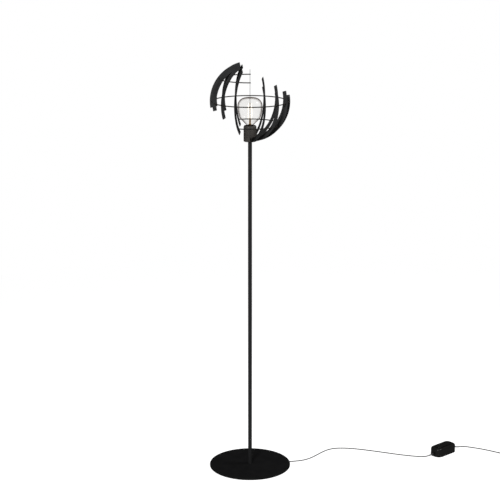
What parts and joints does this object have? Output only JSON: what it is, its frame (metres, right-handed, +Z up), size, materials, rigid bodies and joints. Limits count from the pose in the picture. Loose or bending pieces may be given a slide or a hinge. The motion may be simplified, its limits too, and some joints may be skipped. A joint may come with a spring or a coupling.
{
  "type": "wire cage floor lamp",
  "caption": "Floor lamp with a globe-shaped cage of flat black strips and wire rings round a clear globe bulb, on a slim pole over a round foot, with a foot switch on its cord.",
  "frame": {"origin": "centre of the underside of the foot, on the floor", "axes": "+Z up along the pole, +X to the viewer's right towards the foot switch, -Y towards the viewer"},
  "size_m": [1.3641, 0.4067, 1.5786],
  "materials": {
    "black_paint": "matt black powder coat",
    "black_wire": "matt black powder coat on round wire",
    "felt": "dark grey felt",
    "zinc_steel": "zinc plated steel",
    "holder_plastic": "black moulded thermoset",
    "brass": "plain brass",
    "clear_glass": "clear, faintly warm",
    "stem_glass": "clear glass foot",
    "bulb_metal": "drawn aluminium",
    "cap_insulator": "black glass insulator",
    "filament": "phosphor coated filament",
    "wire_metal": "thin nickel wire",
    "cord_jacket": "dark grey smooth jacket",
    "tie_strap": "black hook and loop strap",
    "switch_plastic": "black moulded, fine texture",
    "button_plastic": "black moulded, satin",
    "switch_block": "off-white moulded",
    "rubber": "black rubber",
    "plug_plastic": "black moulded",
    "pin_brass": "nickel plated brass"
  },
  "bodies": {
    "stand": {"base_pad": "felt", "base_plate": "black_paint", "cage_hub": "black_paint", "cage_ring_lower": "black_wire", "cage_ring_middle": "black_wire", "cage_ring_upper": "black_wire", "cage_strip_000": "black_paint", "cage_strip_022": "black_paint", "cage_strip_045": "black_paint", "cage_strip_067": "black_paint", "cage_strip_090": "black_paint", "cage_strip_112": "black_paint", "cage_strip_135": "black_paint", "cage_strip_157": "black_paint", "cage_strip_180": "black_paint", "cage_strip_202": "black_paint", "cage_strip_225": "black_paint", "cage_strip_247": "black_paint", "cage_strip_270": "black_paint", "cage_strip_292": "black_paint", "cage_strip_315": "black_paint", "cage_strip_337": "black_paint", "coil_tie": "tie_strap", "cord_coil": "cord_jacket", "cord_inner": "cord_jacket", "cord_tail": "cord_jacket", "cord_to_coil": "cord_jacket", "cord_to_switch": "cord_jacket", "holder_base": "holder_plastic", "holder_body": "holder_plastic", "holder_contact": "brass", "holder_shell": "brass", "holder_terminals": "brass", "hub_nut": "zinc_steel", "hub_washer": "zinc_steel", "plug_body": "plug_plastic", "plug_pins": "pin_brass", "pole_foot_stub": "zinc_steel", "pole_top_insert": "zinc_steel", "pole_tube": "black_paint", "socket_cup": "black_paint", "switch_base": "switch_plastic", "switch_block": "switch_block", "switch_cover": "switch_plastic", "switch_grommets": "rubber", "switch_screws": "zinc_steel", "threaded_rod": "zinc_steel"},
    "bulb": {"bulb_glass": "clear_glass", "bulb_cap": "bulb_metal", "bulb_cap_insulator": "cap_insulator", "bulb_tip_contact": "bulb_metal", "bulb_stem": "stem_glass", "bulb_filaments": "filament", "bulb_wires": "wire_metal"},
    "button": {"switch_button": "button_plastic", "switch_plunger": "button_plastic"}
  },
  "joints": [
    {"name": "bulb_turn", "type": "hinge", "parent": "stand", "child": "bulb", "pos_m": [0, 0, 1.3363], "axis": [0, 0, 1], "range_deg": [0, 1080]},
    {"name": "button_press", "type": "slide", "parent": "stand", "child": "button", "axis": [0, 0, -1], "range_m": [0, 0.0024], "stiffness_N_per_m": 1500, "springref_m": -0.002}
  ]
}
